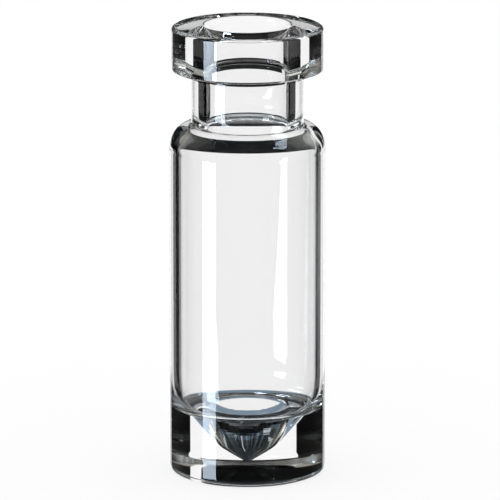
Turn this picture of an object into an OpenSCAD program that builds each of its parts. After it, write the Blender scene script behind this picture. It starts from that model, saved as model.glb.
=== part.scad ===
// Glass sample vial: one piece of clear glass with a crimp ring at the mouth, a
// straight neck, a round shoulder, a thin-walled tube and a thick solid base with
// a conical well in it. The whole piece is one profile turned about the Z axis.
// Millimetres. The vial stands on z = 0 and its axis is Z.

/* [Overall] */
// Height from the foot to the top of the mouth's lip
total_h = 33.4; // [30:0.01:40]
// Outside diameter of the tube and of the base
body_d = 11.4; // [11:0.01:14]
// Thickness of the tube's wall
wall = 0.67; // [0.5:0.01:1]

/* [Crimp ring] */
// Outside diameter of the crimp ring
ring_d = 11.04; // [10:0.01:13]
// Height of the crimp ring at its outside, from its upper edge to its lower edge
ring_h = 3.27; // [3:0.01:4.5]
// How far the mouth's lip stands above the ring's upper edge
lip_rise = 0.16; // [0:0.01:0.5]
// How far the ring's underside falls on its way to the neck
ring_fall = 0.1; // [0.05:0.01:0.8]
// Rounding of the ring's upper edge, along the top
ring_top_across = 0.33; // [0.2:0.01:0.8]
// Rounding of the ring's upper edge, down the side
ring_top_down = 0.23; // [0.2:0.01:0.8]
// Rounding of the ring's lower edge, up the side
ring_low_up = 0.18; // [0.1:0.01:0.7]
// Rounding of the ring's lower edge, along the underside
ring_low_across = 0.4; // [0.1:0.01:0.7]
// Hollow rounding between the ring's underside and the neck, along the underside
ring_root_across = 0.13; // [0.05:0.01:0.5]
// Hollow rounding between the ring's underside and the neck, down the neck
ring_root_down = 0.51; // [0.05:0.01:0.8]

/* [Neck and mouth] */
// Outside diameter of the neck
neck_d = 8.13; // [7.8:0.01:9]
// Length of the neck's outside, from the ring to the shoulder's top
neck_h = 3.88; // [2.5:0.01:5]
// Diameter of the mouth's straight bore
mouth_d = 6; // [5.4:0.01:6.4]
// Rounding of the mouth's lip, along the top
lip_across = 0.37; // [0.2:0.01:0.8]
// Rounding of the mouth's lip, down the bore
lip_down = 0.68; // [0.2:0.01:0.9]

/* [Shoulder] */
// Height of the round shoulder
shoulder_h = 1.91; // [1.6:0.01:4]
// Fullness of the shoulder: 1 is a quarter of an ellipse, and more is squarer
shoulder_full = 1.1; // [0.7:0.05:1.4]
// Hollow rounding between the neck and the shoulder, down the neck
neck_foot_down = 0.84; // [0.2:0.01:0.9]
// Hollow rounding between the neck and the shoulder, across the shoulder
neck_foot_across = 0.18; // [0.1:0.01:0.6]
// Fullness of that hollow rounding: 1 is a quarter of an ellipse, and less is flatter
neck_foot_full = 0.8; // [0.6:0.05:1.4]
// How far the shoulder's inside top lies below its outside top
shoulder_roof = 0.32; // [0.2:0.01:1]
// Height of the shoulder's round inside
inner_shoulder_h = 1.55; // [1.2:0.01:3.5]
// Rounding between the bore and the shoulder's inside, up the bore
bore_foot_up = 0.42; // [0.2:0.01:1]
// Rounding between the bore and the shoulder's inside, across
bore_foot_across = 0.06; // [0.05:0.01:0.6]

/* [Base] */
// Height of the tube's floor where it meets the wall
floor_h = 4.7; // [4.5:0.01:8]
// Rounding between the tube's inside wall and its floor, up the wall
floor_up = 3; // [0.4:0.01:4]
// Rounding between the tube's inside wall and its floor, across the floor
floor_across = 1.6; // [0.4:0.01:2]
// Fullness of that rounding: 1 is a quarter of an ellipse, and more is squarer
floor_full = 3; // [1:0.1:4]
// Diameter of the conical well at its rim
well_d = 6.02; // [5:0.01:7]
// How far the floor falls from the wall to the well's rim
floor_fall = 0.06; // [0:0.01:0.6]
// Rounding of the well's rim
well_rim = 0.25; // [0.1:0.01:0.6]
// Diameter of the well where its cone turns blunter
knee_d = 2.8; // [1.5:0.01:4.5]
// Height where the cone turns blunter
knee_h = 2.2; // [1.8:0.01:3]
// Rounding where the cone turns blunter
knee_round = 0.3; // [0.1:0.01:0.6]
// Solid glass under the well's tip
tip_h = 1.12; // [0.6:0.01:1.5]
// Half width of the well's rounded tip
well_tip = 0.15; // [0.1:0.01:0.4]
// Rounding of the foot's outside edge, along the bottom
foot_across = 0.45; // [0.1:0.01:0.8]
// Rounding of the foot's outside edge, up the side
foot_up = 0.6; // [0.1:0.01:0.8]

/* [Hidden] */
$fn = 180;
// Steps in each rounding of the profile
steps = 12;

body_r = body_d / 2;
ring_r = ring_d / 2;
neck_r = neck_d / 2;
mouth_r = mouth_d / 2;
well_r = well_d / 2;
knee_r = knee_d / 2;
inside_r = body_r - wall;
// Heights, from the lip down
ring_top_z = total_h - lip_rise;
ring_low_z = ring_top_z - ring_h;
neck_top_z = ring_low_z - ring_fall;
shoulder_top_z = neck_top_z - neck_h;
inner_top_z = shoulder_top_z - shoulder_roof;

// Each corner of the profile as its radius, its height, the length of its rounding before
// and after it, and its fullness: from the foot up the outside, over the rim and down the
// inside
corners = [
    [body_r, 0, foot_across, foot_up, 1],
    [body_r, shoulder_top_z, shoulder_h, body_r - neck_r - neck_foot_across, shoulder_full],
    [neck_r, shoulder_top_z, neck_foot_across, neck_foot_down, neck_foot_full],
    [neck_r, neck_top_z, ring_root_down, ring_root_across, 1],
    [ring_r, ring_low_z, ring_low_across, ring_low_up, 1],
    [ring_r, ring_top_z, ring_top_down, ring_top_across, 1],
    [mouth_r, total_h, lip_across, lip_down, 1],
    [mouth_r, inner_top_z, bore_foot_up, bore_foot_across, 1],
    [inside_r, inner_top_z, inside_r - mouth_r - bore_foot_across, inner_shoulder_h, 1],
    [inside_r, floor_h, floor_up, floor_across, floor_full],
    [well_r, floor_h - floor_fall, well_rim, well_rim, 1],
    [knee_r, knee_h, knee_round, knee_round, 1],
    [well_tip, tip_h, well_tip, well_tip, 1]
];

// The corners' places, with the ends of the profile on the axis
way = concat([[0, 0]], [for (c = corners) [c[0], c[1]]], [[0, tip_h]]);

// Points of corner b between a and c, rounded by the curve that leaves the side towards
// a at length_a from b and joins the side towards c at length_c. At a fullness of 1, equal
// lengths give an arc of a circle, and a square corner gives a quarter of an ellipse.
function rounded(a, b, c, length_a, length_c, fullness) =
    let (
        to_a = (a - b) / norm(a - b),
        to_c = (c - b) / norm(c - b),
        pull = fullness * sqrt((1 - to_a * to_c) / 2)
    )
    [
        for (i = [0:steps])
            let (
                t = i / steps,
                share_a = pow(1 - t, 2),
                share_b = 2 * pull * t * (1 - t),
                share_c = pow(t, 2),
                sum = share_a * (b + to_a * length_a) + share_b * b + share_c * (b + to_c * length_c)
            )
            sum / (share_a + share_b + share_c)
    ];

// The half section of the glass
function half_section() = concat([[0, 0]], [
    for (i = [0:len(corners) - 1])
        let (c = corners[i]) each rounded(way[i], way[i + 1], way[i + 2], c[2], c[3], c[4])
]);

module glass_vial() {
    color("lightblue", 0.35)
        rotate_extrude()
            polygon(half_section());
}

glass_vial();
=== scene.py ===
"""A clear glass sample vial with a crimp neck and a cone well, on a white light table."""

import math

import bpy
import numpy as np
from bpy.props import FloatProperty, FloatVectorProperty, IntProperty, PointerProperty
from mathutils import Matrix, Vector


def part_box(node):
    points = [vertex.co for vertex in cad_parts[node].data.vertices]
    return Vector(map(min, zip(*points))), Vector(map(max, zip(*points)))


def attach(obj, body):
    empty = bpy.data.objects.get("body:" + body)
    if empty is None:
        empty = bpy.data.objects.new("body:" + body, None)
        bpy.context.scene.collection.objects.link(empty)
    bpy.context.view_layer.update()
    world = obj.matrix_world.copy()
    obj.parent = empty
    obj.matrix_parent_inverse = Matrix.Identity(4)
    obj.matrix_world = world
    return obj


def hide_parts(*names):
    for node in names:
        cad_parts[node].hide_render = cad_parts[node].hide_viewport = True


bl_info = {
    "name": "Glass sample vial",
    "version": (1, 0, 0),
    "blender": (4, 5, 0),
    "location": "View3D > Sidebar > Vial",
    "description": "Turns a crimp neck glass vial and sets it on a white light table",
    "category": "Object",
}

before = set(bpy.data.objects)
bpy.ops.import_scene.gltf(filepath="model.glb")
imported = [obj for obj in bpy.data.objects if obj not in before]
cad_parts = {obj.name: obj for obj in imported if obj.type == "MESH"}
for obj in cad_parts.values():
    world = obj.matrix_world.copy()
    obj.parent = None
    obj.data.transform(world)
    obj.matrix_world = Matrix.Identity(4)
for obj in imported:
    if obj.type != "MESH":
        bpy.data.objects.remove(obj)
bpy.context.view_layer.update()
NODE = "glass_vial"
LOW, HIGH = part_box(NODE)
MM = 0.001
# How often a light path may bounce: the ring and the base carry light by many reflections
BOUNCES = 40
# The room above the flags, by the sine of a ray's elevation
UPPER_ROOM = ((0.0, (0.0, 0.0, 0.0)), (0.275, (0.0, 0.0, 0.0)), (0.31, (0.29, 0.28, 0.23)),
              (0.6, (0.26, 0.26, 0.22)), (1.0, (0.2, 0.2, 0.18)))
# The dark tent beyond the cards, by the same
FAR_ROOM = ((-1.0, (0.03, 0.03, 0.03)), (-0.4, (0.015, 0.015, 0.015)), (0.0, (0.009, 0.011, 0.012)),
            (0.35, (0.0, 0.0, 0.0)), (1.0, (0.0, 0.0, 0.0)))
# How bright each flag is at each height in millimetres
LEFT_FLAG = ((-60.0, 0.0), (-12.0, 0.002), (-3.0, 0.012), (3.0, 0.006), (15.0, 0.003),
             (21.0, 0.002), (28.0, 0.003), (45.0, 0.06), (80.0, 0.06))
RIGHT_FLAG = ((-60.0, 0.003), (-12.0, 0.004), (-3.0, 0.02), (3.0, 0.07), (9.0, 0.08),
              (15.0, 0.01), (21.0, 0.003), (28.0, 0.04), (45.0, 0.45), (80.0, 0.4))
# How bright the room in front is at each height in millimetres, in the middle and beside it
FRONT_MIDDLE = ((-25.0, 0.0), (0.0, 0.03), (30.0, 0.08), (60.0, 0.1), (120.0, 0.05), (300.0, 0.05))
FRONT_SIDE = ((-25.0, 0.0), (0.0, 0.03), (30.0, 0.15), (60.0, 0.25), (120.0, 0.15), (300.0, 0.1))


def length(label, about, value):
    """A length property, given in millimetres and kept in metres."""
    return FloatProperty(name=label, description=about, default=value * MM, min=0.0,
                         precision=6, unit="LENGTH")


# ------------------------------------------------------------------ sizes and colours

class VIAL_PG_shape(bpy.types.PropertyGroup):
    """Sizes of the vial's turned outline."""

    total_h: length("Height", "From the table to the lip's corner, before it is rounded",
                    HIGH.z / MM + 0.0234)
    body_r: length("Body radius", "Outside radius of the straight body", HIGH.x / MM)
    wall: length("Wall", "Thickness of the straight wall", 0.67)
    crown_r: length("Crown radius", "Outside radius of the crimp ring", 5.52)
    crown_low: length("Crown low corner", "Height of the ring's lower corner", 29.97)
    lip_rise: length("Lip rise", "How far the lip stands above the ring's top edge", 0.16)
    crown_fall: length("Crown fall", "How far the ring's underside falls on its way to the neck", 0.1)
    crown_top_down: length("Crown top edge, side", "Upper rounding, down the side", 0.23)
    crown_top_across: length("Crown top edge, top", "Upper rounding, along the top", 0.33)
    crown_low_across: length("Crown low edge, under", "Lower rounding, along the underside", 0.4)
    crown_low_up: length("Crown low edge, side", "Lower rounding, up the side", 0.18)
    crown_root_across: length("Crown root, under", "Root rounding, along the underside", 0.13)
    crown_root_down: length("Crown root, neck", "Root rounding, down the neck", 0.51)
    lip_across: length("Lip, top", "Rounding of the mouth's edge, along the top", 0.37)
    lip_down: length("Lip, bore", "Rounding of the mouth's edge, down the bore", 0.68)
    neck_r: length("Neck radius", "Outside radius of the neck", 4.065)
    mouth_r: length("Mouth radius", "Radius of the bore", 3.0)
    shoulder_top: length("Shoulder top", "Height of the shoulder's outer top plane", 25.99)
    neck_foot_down: length("Neck foot, neck", "Rounding at the neck's foot, down the neck", 0.84)
    neck_foot_across: length("Neck foot, shoulder", "Rounding at the neck's foot, across", 0.18)
    shoulder_low: length("Shoulder start", "Height where the outside leaves the body", 24.08)
    bore_foot: length("Bore foot", "Height of the shoulder's inner top plane", 25.67)
    bore_flare_in: length("Bore flare, across", "Rounding under the bore, across", 0.06)
    bore_flare_up: length("Bore flare, up", "Rounding under the bore, up the bore", 0.42)
    inner_low: length("Inner shoulder start", "Height where the inside leaves the wall", 24.12)
    floor_z: length("Floor height", "Height of the floor where it meets the wall", 4.7)
    floor_across: length("Floor rounding, across", "Rounding of the floor's corner", 1.6)
    floor_up: length("Floor rounding, up", "Rounding of the floor's corner, up", 3.0)
    well_r: length("Well radius", "Radius of the cone well's rim", 3.01)
    well_rim_z: length("Well rim height", "Height of the cone well's rim", 4.64)
    well_rim: length("Well rim rounding", "Rounding of the cone well's rim", 0.25)
    well_knee_r: length("Well knee radius", "Radius where the cone turns blunter", 1.4)
    well_knee_z: length("Well knee height", "Height where the cone turns blunter", 2.2)
    well_knee: length("Well knee rounding", "Rounding where the cone turns blunter", 0.3)
    well_tip_z: length("Well tip height", "Height of the lowest point inside", 1.12)
    well_tip: length("Well tip rounding", "Half width of the rounded tip", 0.15)
    ripple: length("Well ripple", "Height of the fine ring ripples pressed into the well", 0.0008)
    ripple_step: length("Well ripple step", "Distance between the well's ring ripples", 0.24)
    foot_across: length("Foot rounding, under", "Foot's outer edge, along the bottom", 0.45)
    foot_up: length("Foot rounding, side", "Foot's outer edge, up the side", 0.6)
    shoulder_full: FloatProperty(name="Shoulder fullness", default=1.1, min=0.5, max=1.4,
                                 description="1 rounds the shoulder as an ellipse, more is squarer")
    floor_full: FloatProperty(name="Floor corner fullness", default=3.0, min=0.5, max=4.0,
                              description="1 rounds the floor's corner as an ellipse")
    neck_foot_full: FloatProperty(name="Neck foot fullness", default=0.8, min=0.5, max=1.4,
                                  description="1 rounds the neck's foot as an ellipse")
    sectors: IntProperty(name="Sectors", description="Steps round the axis",
                         default=224, min=24, max=512)


class VIAL_PG_glass(bpy.types.PropertyGroup):
    """How the glass looks."""

    tint: FloatVectorProperty(name="Tint", description="Colour of the glass", size=4,
                              subtype="COLOR", default=(1.0, 1.0, 1.0, 1.0), min=0, max=1)
    ior: FloatProperty(name="IOR", description="Index of refraction of the glass",
                       default=1.49, min=1.0, max=2.0)
    draw_depth: FloatProperty(name="Draw lines", default=0.001, min=0.0, max=1.0,
                              description="Depth of the fine lines along the drawn tube")
    ring_depth: FloatProperty(name="Forming ripples", default=0.05, min=0.0, max=1.0,
                              description="Depth of the rings on the turned neck and base")
    well_depth: FloatProperty(name="Well ripples", default=0.05, min=0.0, max=2.0,
                              description="Depth of the close ripples round the pressed well")


class VIAL_PG_stage(bpy.types.PropertyGroup):
    """The camera, the floor and the cards around the vial."""

    elevation: FloatProperty(name="Elevation", description="Camera angle above the table",
                             subtype="ANGLE", default=math.radians(12.95))
    distance: length("Distance", "From the camera to the vial", 450.0)
    span: length("Span", "Width of the picture at the vial", 36.609)
    aim: FloatVectorProperty(name="Aim", description="Point in the middle of the picture",
                             size=3, subtype="TRANSLATION", unit="LENGTH", precision=6,
                             default=(0.184 * MM, 0.011 * MM, 16.552 * MM))
    floor_colour: FloatVectorProperty(name="Floor", description="Colour of the table",
                                      size=4, subtype="COLOR", min=0, max=1,
                                      default=(1.0, 1.0, 1.0, 1.0))


# ------------------------------------------------------------------ the turned surface

def rounded(before, corner, after, leg_in, leg_out, fullness, steps):
    """Points and directions of a rounded corner: the conic that leaves the leg towards
    `before` at leg_in from the corner and joins the leg towards `after` at leg_out, with
    the sine of half the angle between the legs, times the fullness, as its weight. At a
    fullness of 1, equal legs give a circle and a square corner gives a quarter ellipse."""
    before, corner, after = (np.asarray(p, float) for p in (before, corner, after))
    u = (before - corner) / np.linalg.norm(before - corner)
    v = (after - corner) / np.linalg.norm(after - corner)
    weight = fullness * math.sqrt(max(0.0, (1.0 - u @ v) / 2.0))
    start, end = corner + u * leg_in, corner + v * leg_out
    t = np.linspace(0.0, 1.0, steps)[:, None]
    a, b, c = (1 - t) ** 2, 2 * weight * t * (1 - t), t * t
    da, db, dc = -2 * (1 - t), 2 * weight * (1 - 2 * t), 2 * t
    total, dtotal = a + b + c, da + db + dc
    points = (a * start + b * corner + c * end) / total
    along = (da * start + db * corner + dc * end) / total - points * dtotal / total
    return points, along / np.linalg.norm(along, axis=1, keepdims=True)


def vial_outline(s):
    """The half section of the glass as one path of (radius, height) points with unit
    directions: from the middle of the foot, out and up the outside, over the lip and down
    the inside to the tip of the well. Every corner is rounded, and straight lines join
    the roundings."""
    inner = s.body_r - s.wall
    corners = (
        (s.body_r, 0.0, s.foot_across, s.foot_up, 1.0, 12),
        (s.body_r, s.shoulder_top, s.shoulder_top - s.shoulder_low,
         s.body_r - s.neck_r - s.neck_foot_across, s.shoulder_full, 34),
        (s.neck_r, s.shoulder_top, s.neck_foot_across, s.neck_foot_down,
         s.neck_foot_full, 16),
        (s.neck_r, s.crown_low - s.crown_fall, s.crown_root_down, s.crown_root_across, 1.0, 8),
        (s.crown_r, s.crown_low, s.crown_low_across, s.crown_low_up, 1.0, 12),
        (s.crown_r, s.total_h - s.lip_rise, s.crown_top_down, s.crown_top_across, 1.0, 12),
        (s.mouth_r, s.total_h, s.lip_across, s.lip_down, 1.0, 12),
        (s.mouth_r, s.bore_foot, s.bore_flare_up, s.bore_flare_in, 1.0, 12),
        (inner, s.bore_foot, inner - s.mouth_r - s.bore_flare_in,
         s.bore_foot - s.inner_low, 1.0, 34),
        (inner, s.floor_z, s.floor_up, s.floor_across, s.floor_full, 40),
        (s.well_r, s.well_rim_z, s.well_rim, s.well_rim, 1.0, 8),
        (s.well_knee_r, s.well_knee_z, s.well_knee, s.well_knee, 1.0, 8),
        (s.well_tip, s.well_tip_z, s.well_tip, s.well_tip, 1.0, 8),
    )
    way = [(0.0, 0.0)] + [c[:2] for c in corners] + [(0.0, s.well_tip_z)]
    points, along = [np.array([[0.0, 0.0]])], [np.array([[1.0, 0.0]])]
    for i, corner in enumerate(corners):
        step = (0.9 if i < len(corners) - 2 else 0.03) * MM
        arc, turn = rounded(way[i], way[i + 1], way[i + 2], *corner[2:])
        gap = arc[0] - points[-1][-1]
        size = np.linalg.norm(gap)
        between = int(size / step)
        if between > 0:
            share = np.arange(1, between + 1)[:, None] / (between + 1)
            points.append(points[-1][-1] + gap * share)
            along.append(np.repeat([gap / size], between, axis=0))
        # Where two roundings meet, they share one point
        skip = 1 if size < 0.0001 * MM else 0
        points.append(arc[skip:])
        along.append(turn[skip:])
    return rippled(np.concatenate(points), np.concatenate(along), s)


def rippled(points, along, s):
    """The outline with the well's ring ripples: each point of the well moves along its
    normal by the ripple height times the sum of two sine waves of the path length, which
    fades out towards the rim and the tip. The directions turn by the wave's slope."""
    way = np.concatenate([[0.0], np.cumsum(np.linalg.norm(np.diff(points, axis=0), axis=1))])
    well = (points[:, 1] < s.well_rim_z) & (points[:, 0] < s.well_r) & (points[:, 1] > s.well_tip_z)
    well &= way > way[-1] / 2
    first, last = way[well][0], way[well][-1]
    share = np.clip((way - first) / (last - first), 0.0, 1.0)
    fade = np.where(well, np.minimum(1.0, 6.0 * np.minimum(share, 1.0 - share)), 0.0)
    a, b = 2 * np.pi / s.ripple_step, 2 * np.pi / (1.37 * s.ripple_step)
    lift = s.ripple * fade * (0.6 * np.sin(a * way) + 0.4 * np.sin(b * way + 1.0))
    slope = s.ripple * fade * (0.6 * a * np.cos(a * way) + 0.4 * b * np.cos(b * way + 1.0))
    normal = np.stack([along[:, 1], -along[:, 0]], axis=-1)
    turned_way = along + normal * slope[:, None]
    turned_way /= np.linalg.norm(turned_way, axis=1, keepdims=True)
    return points + normal * lift[:, None], turned_way


def turned(name, points, along, sectors):
    """A closed surface of revolution about Z. A point at angle a and outline point (r, z)
    is (r cos a, r sin a, z); its normal is the outline's direction turned a quarter to the
    right and carried round by the same angle. The outline's first and last points lie on
    the axis and become one vertex each."""
    ring_points, ring_along = points[1:], along[1:]
    on_axis_end = ring_points[-1, 0] < 1e-9
    if on_axis_end:
        ring_points, ring_along = ring_points[:-1], ring_along[:-1]
    rows = len(ring_points)
    angle = np.linspace(0.0, 2 * np.pi, sectors, endpoint=False)
    c, s = np.cos(angle)[:, None], np.sin(angle)[:, None]
    r, z = ring_points[None, :, 0], ring_points[None, :, 1]
    place = np.stack([c * r, s * r, z + 0 * c], axis=-1).reshape(-1, 3)
    nr, nz = ring_along[None, :, 1], -ring_along[None, :, 0]
    normal = np.stack([c * nr, s * nr, nz + 0 * c], axis=-1).reshape(-1, 3)
    first, last = sectors * rows, sectors * rows + 1
    place = np.concatenate([place, [[0, 0, points[0, 1]], [0, 0, points[-1, 1]]]])
    normal = np.concatenate([normal, [[0, 0, -1.0], [0, 0, 1.0]]])
    i = np.arange(sectors)[:, None]
    j = np.arange(rows - 1)[None, :]
    here, there = i * rows + j, (i + 1) % sectors * rows + j
    quads = np.stack([here, there, there + 1, here + 1], axis=-1).reshape(-1, 4)
    k = np.arange(sectors)
    k2 = (k + 1) % sectors
    foot = np.stack([np.full(sectors, first), k2 * rows, k * rows], axis=-1)
    tip = np.stack([np.full(sectors, last), k * rows + rows - 1, k2 * rows + rows - 1], axis=-1)
    mesh = bpy.data.meshes.new(name)
    mesh.from_pydata(place.tolist(), [], quads.tolist() + foot.tolist() + tip.tolist())
    mesh.update()
    mesh.shade_smooth()
    mesh.normals_split_custom_set_from_vertices(normal.tolist())
    piece = bpy.data.objects.new(name, mesh)
    bpy.context.scene.collection.objects.link(piece)
    return piece


# ------------------------------------------------------------------ finishes

def new_material(name):
    """An empty node material and its output node."""
    material = bpy.data.materials.new(name)
    material.use_nodes = True
    tree = material.node_tree
    tree.nodes.clear()
    return material, tree, tree.nodes.new("ShaderNodeOutputMaterial")


def sum_of(tree, *parts):
    """One socket that adds the given value sockets."""
    total = parts[0]
    for part in parts[1:]:
        add = tree.nodes.new("ShaderNodeMath")
        add.operation = "ADD"
        tree.links.new(total, add.inputs[0])
        tree.links.new(part, add.inputs[1])
        total = add.outputs[0]
    return total


def times(tree, left, right):
    """One socket that multiplies a value socket by a socket or a number."""
    node = tree.nodes.new("ShaderNodeMath")
    node.operation = "MULTIPLY"
    tree.links.new(left, node.inputs[0])
    if isinstance(right, (int, float)):
        node.inputs[1].default_value = right
    else:
        tree.links.new(right, node.inputs[1])
    return node.outputs[0]


def drawn_glass_group():
    """Node group for formed glass: fine lines along the drawn tube, soft rings where the
    neck and the base were turned in the flame, and close ripples round the pressed well.
    It gives a height for a Bump node."""
    group = bpy.data.node_groups.new("formed_glass", "ShaderNodeTree")
    for label, kind, direction in (
        ("Vector", "NodeSocketVector", "INPUT"),
        ("Draw depth", "NodeSocketFloat", "INPUT"),
        ("Ring depth", "NodeSocketFloat", "INPUT"),
        ("Well depth", "NodeSocketFloat", "INPUT"),
        ("Neck height", "NodeSocketFloat", "INPUT"),
        ("Well height", "NodeSocketFloat", "INPUT"),
        ("Height", "NodeSocketFloat", "OUTPUT"),
    ):
        group.interface.new_socket(label, in_out=direction, socket_type=kind)
    source = group.nodes.new("NodeGroupInput")
    result = group.nodes.new("NodeGroupOutput")

    def noise(stretch, scale, detail):
        """Noise on the vector stretched along each axis."""
        space = group.nodes.new("ShaderNodeVectorMath")
        space.operation = "MULTIPLY"
        space.inputs[1].default_value = stretch
        cloud = group.nodes.new("ShaderNodeTexNoise")
        cloud.inputs["Scale"].default_value = scale
        cloud.inputs["Detail"].default_value = detail
        group.links.new(source.outputs["Vector"], space.inputs[0])
        group.links.new(space.outputs[0], cloud.inputs["Vector"])
        return cloud.outputs[0]

    def ramp(edge, width):
        """0 below the edge height and 1 above it, over the width."""
        soft = group.nodes.new("ShaderNodeMapRange")
        soft.interpolation_type = "SMOOTHSTEP"
        top = group.nodes.new("ShaderNodeMath")
        top.operation = "ADD"
        top.inputs[1].default_value = width
        group.links.new(edge, top.inputs[0])
        group.links.new(parts.outputs["Z"], soft.inputs["Value"])
        group.links.new(edge, soft.inputs["From Min"])
        group.links.new(top.outputs[0], soft.inputs["From Max"])
        return soft.outputs[0]

    def less(socket):
        """One minus a value."""
        node = group.nodes.new("ShaderNodeMath")
        node.operation = "SUBTRACT"
        node.inputs[0].default_value = 1.0
        group.links.new(socket, node.inputs[1])
        return node.outputs[0]

    parts = group.nodes.new("ShaderNodeSeparateXYZ")
    group.links.new(source.outputs["Vector"], parts.inputs[0])
    flat = group.nodes.new("ShaderNodeCombineXYZ")
    group.links.new(parts.outputs["X"], flat.inputs["X"])
    group.links.new(parts.outputs["Y"], flat.inputs["Y"])
    radius = group.nodes.new("ShaderNodeVectorMath")
    radius.operation = "LENGTH"
    group.links.new(flat.outputs[0], radius.inputs[0])
    inside = group.nodes.new("ShaderNodeMapRange")
    inside.inputs["From Min"].default_value = 4.2 * MM
    inside.inputs["From Max"].default_value = 3.0 * MM
    group.links.new(radius.outputs["Value"], inside.inputs["Value"])
    lines = noise((1.0, 1.0, 0.012), 900.0, 2.0)
    rings = noise((0.15, 0.15, 1.0), 1800.0, 1.5)
    ripples = noise((0.5, 0.5, 1.0), 5200.0, 1.0)
    neck = ramp(source.outputs["Neck height"], 1.5 * MM)
    base = less(ramp(source.outputs["Well height"], 1.5 * MM))
    drawn = times(group, lines, source.outputs["Draw depth"])
    formed = times(group, times(group, rings, source.outputs["Ring depth"]),
                   sum_of(group, neck, base))
    pressed = times(group, times(group, ripples, source.outputs["Well depth"]),
                    times(group, base, inside.outputs[0]))
    group.links.new(sum_of(group, drawn, formed, pressed), result.inputs["Height"])
    return group


def clear_glass(look, shape):
    """Clear formed glass: full transmission, with the forming marks as a faint bump."""
    material, tree, out = new_material("clear_glass")
    glass = tree.nodes.new("ShaderNodeBsdfPrincipled")
    glass.inputs["Base Color"].default_value = look.tint
    glass.inputs["Roughness"].default_value = 0.0
    glass.inputs["Metallic"].default_value = 0.0
    glass.inputs["IOR"].default_value = look.ior
    glass.inputs["Transmission Weight"].default_value = 1.0
    place = tree.nodes.new("ShaderNodeTexCoord")
    marks = tree.nodes.new("ShaderNodeGroup")
    marks.node_tree = drawn_glass_group()
    marks.inputs["Draw depth"].default_value = look.draw_depth
    marks.inputs["Ring depth"].default_value = look.ring_depth
    marks.inputs["Well depth"].default_value = look.well_depth
    marks.inputs["Neck height"].default_value = shape.shoulder_top
    marks.inputs["Well height"].default_value = shape.floor_z
    bump = tree.nodes.new("ShaderNodeBump")
    bump.inputs["Strength"].default_value = 1.0
    bump.inputs["Distance"].default_value = 0.02 * MM
    tree.links.new(place.outputs["Object"], marks.inputs["Vector"])
    tree.links.new(marks.outputs["Height"], bump.inputs["Height"])
    tree.links.new(bump.outputs["Normal"], glass.inputs["Normal"])
    tree.links.new(glass.outputs["BSDF"], out.inputs["Surface"])
    return material


def glow(name, colour, strength=1.0):
    """A card that only shines; it isn't sampled as a lamp."""
    material, tree, out = new_material(name)
    light = tree.nodes.new("ShaderNodeEmission")
    light.inputs["Color"].default_value = (*colour, 1.0)
    light.inputs["Strength"].default_value = strength
    tree.links.new(light.outputs[0], out.inputs["Surface"])
    material.cycles.emission_sampling = "NONE"
    return material


def streaked_painted_reflection(name, colour):
    """Painted reflection: a shine whose colour varies in streaks that run away from the axis."""
    material, tree, out = new_material(name)
    place = tree.nodes.new("ShaderNodeTexCoord")
    split = tree.nodes.new("ShaderNodeSeparateXYZ")
    turn = tree.nodes.new("ShaderNodeMath")
    turn.operation = "ARCTAN2"
    tree.links.new(place.outputs["Object"], split.inputs[0])
    tree.links.new(split.outputs["X"], turn.inputs[0])
    tree.links.new(split.outputs["Y"], turn.inputs[1])
    cloud = tree.nodes.new("ShaderNodeTexNoise")
    cloud.noise_dimensions = "1D"
    cloud.inputs["Scale"].default_value = 6.0
    cloud.inputs["Detail"].default_value = 2.5
    tree.links.new(turn.outputs[0], cloud.inputs["W"])
    light = tree.nodes.new("ShaderNodeEmission")
    light.inputs["Color"].default_value = (*colour, 1.0)
    power = ramp_of(tree, cloud.outputs[0], ((0.0, (0.3,) * 3), (0.42, (0.4,) * 3),
                                             (0.55, (1.2,) * 3), (0.66, (2.0,) * 3),
                                             (1.0, (2.0,) * 3)), 0.0, 1.0)
    tree.links.new(power, light.inputs["Strength"])
    tree.links.new(light.outputs[0], out.inputs["Surface"])
    material.cycles.emission_sampling = "NONE"
    return material


def ramp_of(tree, value, stops, low, high):
    """A colour from a value between low and high, by (value, colour) stops."""
    fit = tree.nodes.new("ShaderNodeMapRange")
    fit.inputs["From Min"].default_value = low
    fit.inputs["From Max"].default_value = high
    shades = tree.nodes.new("ShaderNodeValToRGB")
    shades.color_ramp.interpolation = "EASE"
    band = shades.color_ramp.elements
    while len(band) < len(stops):
        band.new(0.5)
    for element, (place, colour) in zip(band, stops):
        element.position = (place - low) / (high - low)
        element.color = (*colour, 1.0)
    tree.links.new(value, fit.inputs["Value"])
    tree.links.new(fit.outputs[0], shades.inputs["Fac"])
    return shades.outputs["Color"]


def rise_of(tree, vector, sign):
    """The upward part of a direction, times the sign: the sine of its elevation."""
    split = tree.nodes.new("ShaderNodeSeparateXYZ")
    tree.links.new(vector, split.inputs[0])
    return times(tree, split.outputs["Z"], sign)


def directed(name, stops):
    """A card that shines by the sine of the elevation of the ray that meets it."""
    material, tree, out = new_material(name)
    way = tree.nodes.new("ShaderNodeNewGeometry")
    light = tree.nodes.new("ShaderNodeEmission")
    rise = rise_of(tree, way.outputs["Incoming"], -1.0)
    tree.links.new(ramp_of(tree, rise, stops, -1.0, 1.0), light.inputs["Color"])
    tree.links.new(light.outputs[0], out.inputs["Surface"])
    material.cycles.emission_sampling = "NONE"
    return material


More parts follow.
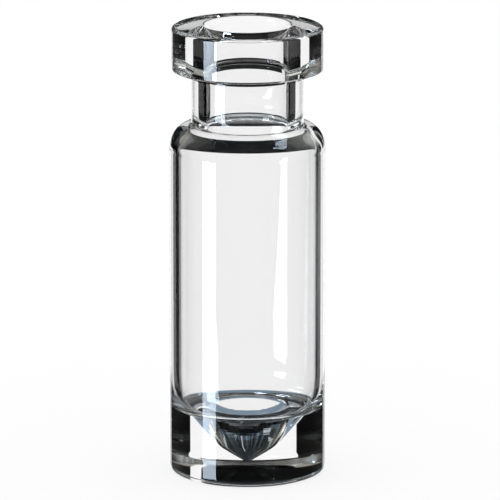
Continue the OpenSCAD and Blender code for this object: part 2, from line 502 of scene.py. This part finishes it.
def shaded(name, axis, stops, upper=None):
    """A card that shines by its own height or depth: stops are (millimetres, colour).
    With an upper list of (sine of elevation, colour) stops, rays that climb see those
    colours added, as if the card ended there and the room stood behind it."""
    material, tree, out = new_material(name)
    place = tree.nodes.new("ShaderNodeTexCoord")
    split = tree.nodes.new("ShaderNodeSeparateXYZ")
    light = tree.nodes.new("ShaderNodeEmission")
    tree.links.new(place.outputs["Object"], split.inputs[0])
    colour = ramp_of(tree, times(tree, split.outputs[axis], 1000.0), stops,
                     stops[0][0], stops[-1][0])
    if upper:
        way = tree.nodes.new("ShaderNodeNewGeometry")
        extra = ramp_of(tree, rise_of(tree, way.outputs["Incoming"], -1.0), upper,
                        upper[0][0], upper[-1][0])
        both = tree.nodes.new("ShaderNodeMix")
        both.data_type, both.blend_type = "RGBA", "ADD"
        both.inputs["Factor"].default_value = 1.0
        tree.links.new(colour, both.inputs["A"])
        tree.links.new(extra, both.inputs["B"])
        colour = both.outputs["Result"]
    tree.links.new(colour, light.inputs["Color"])
    tree.links.new(light.outputs[0], out.inputs["Surface"])
    material.cycles.emission_sampling = "NONE"
    return material


# ------------------------------------------------------------------ the stage

def on_camera(thing):
    """Lets a stage piece move with the camera, from where both stand now."""
    camera = bpy.context.scene.camera
    thing.parent = camera
    thing.matrix_parent_inverse = camera.matrix_basis.inverted()


def card(name, corners, material, mirrored=True, refracted=True, carried=True):
    """A flat four-cornered card that only the glass sees. If carried, it moves with the
    camera."""
    mesh = bpy.data.meshes.new(name)
    mesh.from_pydata([tuple(v * MM for v in c) for c in corners], [], [(0, 1, 2, 3)])
    mesh.materials.append(material)
    thing = bpy.data.objects.new(name, mesh)
    bpy.context.scene.collection.objects.link(thing)
    thing.visible_camera = False
    thing.visible_diffuse = False
    thing.visible_shadow = False
    thing.visible_glossy = mirrored
    thing.visible_transmission = refracted
    if carried:
        on_camera(thing)
    return thing


def panel(name, start, end, distance, low, high, material):
    """An upright card between two azimuths at a distance from the vial's axis. Azimuths
    are in degrees from straight behind the vial, to the right."""
    a, b = (Vector((math.sin(math.radians(v)), math.cos(math.radians(v)), 0.0)) * distance
            for v in (start, end))
    corners = [(a.x, a.y, low), (b.x, b.y, low), (b.x, b.y, high), (a.x, a.y, high)]
    return card(name, corners, material)


def annulus(name, inner, outer, height, material, wide=1.0, offset=0.0):
    """A flat ring that only the glass sees, in millimetres. It is stretched along X by
    the wide factor and its centre is offset from the axis."""
    steps = 96
    angle = np.linspace(0, 2 * np.pi, steps, endpoint=False)
    circle = np.stack([wide * np.cos(angle), np.sin(angle), 0 * angle], axis=-1)
    k = np.arange(steps)
    lift = np.array([offset, offset, height])
    place = np.concatenate([circle * inner + lift, circle * outer + lift]) * MM
    faces = np.stack([k, (k + 1) % steps, (k + 1) % steps + steps, k + steps], axis=-1)
    mesh = bpy.data.meshes.new(name)
    mesh.from_pydata(place.tolist(), [], faces.tolist())
    mesh.materials.append(material)
    thing = bpy.data.objects.new(name, mesh)
    bpy.context.scene.collection.objects.link(thing)
    thing.visible_camera = False
    thing.visible_diffuse = False
    thing.visible_shadow = False
    return thing


# ------------------------------------------------------------------ operators

class VIAL_OT_camera(bpy.types.Operator):
    """Adds the camera"""

    bl_idname = "vial.camera"
    bl_label = "Camera"

    def execute(self, context):
        s = context.scene.vial_stage
        data = bpy.data.cameras.new("camera")
        data.sensor_width = 36.0
        data.lens = data.sensor_width * s.distance / s.span
        data.clip_start, data.clip_end = 0.01, 100.0
        camera = bpy.data.objects.new("camera", data)
        context.scene.collection.objects.link(camera)
        back = Vector((0.0, -math.cos(s.elevation), math.sin(s.elevation)))
        camera.location = Vector(s.aim) + back * s.distance
        camera.rotation_euler = (math.pi / 2 - s.elevation, 0.0, 0.0)
        context.scene.camera = camera
        return {"FINISHED"}


class VIAL_OT_glass(bpy.types.Operator):
    """Turns the glass vial"""

    bl_idname = "vial.glass"
    bl_label = "Glass vial"

    def execute(self, context):
        shape = context.scene.vial_shape
        points, along = vial_outline(shape)
        vial = turned("vial", points, along, shape.sectors)
        vial.data.materials.append(clear_glass(context.scene.vial_glass, shape))
        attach(vial, "root")
        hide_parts(NODE)
        return {"FINISHED"}


class VIAL_OT_stage(bpy.types.Operator):
    """Adds the floor, the light and the cards that the glass bends and mirrors"""

    bl_idname = "vial.stage"
    bl_label = "Stage"

    def execute(self, context):
        s = context.scene.vial_stage
        self.floor(context, s)
        self.light(context)
        self.tent()
        self.cards()
        self.under()
        return {"FINISHED"}

    def floor(self, context, s):
        """A wide white table. The camera sees it with a part of the vial's shadow."""
        material, tree, out = new_material("table")
        matt = tree.nodes.new("ShaderNodeBsdfDiffuse")
        matt.inputs["Color"].default_value = s.floor_colour
        lit = tree.nodes.new("ShaderNodeEmission")
        lit.inputs["Color"].default_value = s.floor_colour
        mix = tree.nodes.new("ShaderNodeMixShader")
        mix.inputs["Fac"].default_value = 0.8
        tree.links.new(matt.outputs[0], mix.inputs[1])
        tree.links.new(lit.outputs[0], mix.inputs[2])
        tree.links.new(mix.outputs[0], out.inputs["Surface"])
        material.cycles.emission_sampling = "NONE"
        mesh = bpy.data.meshes.new("table")
        half = 3.0
        mesh.from_pydata([(-half, -half, 0), (half, -half, 0), (half, half, 0), (-half, half, 0)],
                         [], [(0, 1, 2, 3)])
        mesh.materials.append(material)
        table = bpy.data.objects.new("table", mesh)
        table.location.z = LOW.z - 0.00002
        table.visible_glossy = False
        table.visible_transmission = False
        context.scene.collection.objects.link(table)

    def light(self, context):
        """A plain white room at strength 1, the same for every ray: it lights the table, is
        the background that the camera sees, and is what the glass sees behind the vial."""
        world = bpy.data.worlds.new("room")
        context.scene.world = world
        world.use_nodes = True
        tree = world.node_tree
        tree.nodes.clear()
        white = tree.nodes.new("ShaderNodeBackground")
        white.inputs["Color"].default_value = (1.0, 1.0, 1.0, 1.0)
        out = tree.nodes.new("ShaderNodeOutputWorld")
        tree.links.new(white.outputs[0], out.inputs["Surface"])

    def tent(self):
        """A dark tent round the vial that only the glass sees, with one opening behind and
        below. The glass sees the white room through the opening."""
        half, back, near, low, top, far = 140.0, 127.0, 15.0, -40.0, 9.85, 1500.0
        # The roof, the front, the bottom, the step down to it and the back above the opening
        walls = [((-far, -far, far), (far, -far, far), (far, back, far), (-far, back, far)),
                 ((-far, -far, -far), (far, -far, -far), (far, -far, far), (-far, -far, far)),
                 ((-far, -far, -far), (far, -far, -far), (far, near, -far), (-far, near, -far)),
                 ((-far, near, -far), (far, near, -far), (far, near, low), (-far, near, low)),
                 ((-far, back, top), (far, back, top), (far, back, far), (-far, back, far))]
        # On each side: the back and the shelf beside the opening, and the side wall's parts
        for inner, outer in ((-half, -far), (half, far)):
            walls += [((inner, back, low), (outer, back, low), (outer, back, top),
                       (inner, back, top)),
                      ((inner, near, low), (outer, near, low), (outer, back, low),
                       (inner, back, low)),
                      ((outer, -far, -far), (outer, near, -far), (outer, near, far),
                       (outer, -far, far)),
                      ((outer, near, low), (outer, back, low), (outer, back, far),
                       (outer, near, far))]
        cloth = directed("tent", FAR_ROOM)
        for k, corners in enumerate(walls):
            card("tent_%d" % k, corners, cloth)

    def cards(self):
        """A black flag at each side, the dim room in front, a tall white strip at the right
        and a blue-white soft box at the front left. They move with the camera."""
        flags = (("flag_left", -38.4, 77.5, LEFT_FLAG),
                 ("flag_right", 35.8, 55.5, RIGHT_FLAG))
        for name, x, rear, tones in flags:
            cloth = shaded(name, "Z", [(z, (0.94 * v, v, 0.98 * v)) for z, v in tones],
                           UPPER_ROOM)
            card(name, [(x, -8.0, -60.0), (x, rear, -60.0), (x, rear, 80.0), (x, -8.0, 80.0)],
                 cloth)
        for name, left, right, tones in (("room_front", -60.0, 60.0, FRONT_MIDDLE),
                                         ("room_left", -600.0, -60.0, FRONT_SIDE),
                                         ("room_right", 60.0, 600.0, FRONT_SIDE)):
            wall = shaded(name, "Z", [(z, (v, 0.98 * v, 0.93 * v)) for z, v in tones])
            card(name, [(left, -100.0, -25.0), (right, -100.0, -25.0), (right, -100.0, 300.0),
                        (left, -100.0, 300.0)], wall, mirrored=False)
        panel("strip", 25.0, 60.0, 120.0, -60.0, 75.0, glow("white_strip", (1.0, 1.0, 1.0)))
        soft = glow("soft_box", (0.72, 0.85, 1.0), 13.0)
        panel("soft_box", 227.5, 249.5, 300.0, -135.0, -22.0, soft)

    def under(self):
        """Dark and grey-blue rings just under the foot, as the cone well shows them: painted shade
        that stands in for the shade under the vial, with painted light on it. Long rings in the
        middle carry streaks of painted reflection, two pale glints beside them are painted
        highlights, a rim that pales sideways is painted sheen and a thin bright ring is a painted
        highlight."""
        wide, offset = 1.4, 0.3
        # Painted shade: dark and grey-blue sheets under the foot; the first three carry streaks of
        # painted reflection.
        rings = ((0.0, 2.6, (0.02, 0.026, 0.03)), (2.6, 3.05, (0.03, 0.038, 0.044)),
                 (3.05, 3.37, (0.075, 0.1, 0.125)), (3.37, 4.0, (0.002, 0.003, 0.004)))
        for k, (inner, outer, colour) in enumerate(rings):
            kind = streaked_painted_reflection if k < 3 else glow
            annulus("under_%d" % k, inner, outer, -0.2, kind("under_%d" % k, colour), wide,
                    offset)
        # Painted sheen: a ring under the foot, dark in the middle and paler towards the sides.
        rim_sheen_stops = [(x, (v, 1.05 * v, 1.1 * v)) for x, v in
                ((-5.5, 0.45), (-4.0, 0.4), (-2.5, 0.1), (0.0, 0.04), (2.5, 0.1), (4.0, 0.4),
                 (5.5, 0.45))]
        annulus("under_rim", 3.0, 5.7, -0.21, shaded("under_rim", "X", rim_sheen_stops))
        # Painted highlight: a thin ring under the foot that glows brighter than white.
        annulus("under_line", 4.9, 5.4, -0.205, glow("under_line", (1.2, 1.27, 1.3)))
        # Painted shade: a dim grey-blue sheet round and below the foot.
        annulus("under_low", 5.7, 11.9, -3.0, glow("under_low", (0.21, 0.285, 0.36)))
        # Painted glints: small pale cards under the foot that the cone well shows as highlights.
        glint = glow("glint", (0.42, 0.46, 0.5))
        for name, spots in (("glint_left", ((-3.7, -0.8), (-3.5, -0.8), (-3.3, 0.8), (-3.8, 0.9))),
                            ("glint_right", ((3.2, -1.0), (3.35, -1.0), (4.3, 1.0), (3.9, 1.2))),
                            ("glint_rim", ((2.5, -2.75), (2.6, -2.3), (3.5, -1.4), (3.7, -1.8))),
                            ("glint_line", ((-1.1, -2.9), (-0.92, -2.9), (-0.2, -0.6),
                                            (-0.32, -0.6)))):
            card(name, [(x, y, -0.19) for x, y in spots], glint, carried=False)


class VIAL_PT_panel(bpy.types.Panel):
    """Lists the vial's operators and settings"""

    bl_idname = "VIAL_PT_panel"
    bl_label = "Glass vial"
    bl_space_type = "VIEW_3D"
    bl_region_type = "UI"
    bl_category = "Vial"

    def draw(self, context):
        for operator in (VIAL_OT_camera, VIAL_OT_glass, VIAL_OT_stage):
            self.layout.operator(operator.bl_idname)
        for group in (context.scene.vial_shape, context.scene.vial_glass,
                      context.scene.vial_stage):
            box = self.layout.box()
            for name in group.__annotations__:
                box.prop(group, name)


CLASSES = (VIAL_PG_shape, VIAL_PG_glass, VIAL_PG_stage, VIAL_OT_camera, VIAL_OT_glass,
           VIAL_OT_stage, VIAL_PT_panel)


def register():
    for cls in CLASSES:
        bpy.utils.register_class(cls)
    bpy.types.Scene.vial_shape = PointerProperty(type=VIAL_PG_shape)
    bpy.types.Scene.vial_glass = PointerProperty(type=VIAL_PG_glass)
    bpy.types.Scene.vial_stage = PointerProperty(type=VIAL_PG_stage)


def unregister():
    del bpy.types.Scene.vial_stage
    del bpy.types.Scene.vial_glass
    del bpy.types.Scene.vial_shape
    for cls in reversed(CLASSES):
        bpy.utils.unregister_class(cls)


def main():
    register()
    bpy.context.scene.view_settings.view_transform = "Standard"
    cycles = bpy.context.scene.cycles
    cycles.max_bounces = cycles.glossy_bounces = cycles.transmission_bounces = BOUNCES
    bpy.ops.vial.camera()
    bpy.ops.vial.glass()
    bpy.ops.vial.stage()


if __name__ == "__main__":
    main()
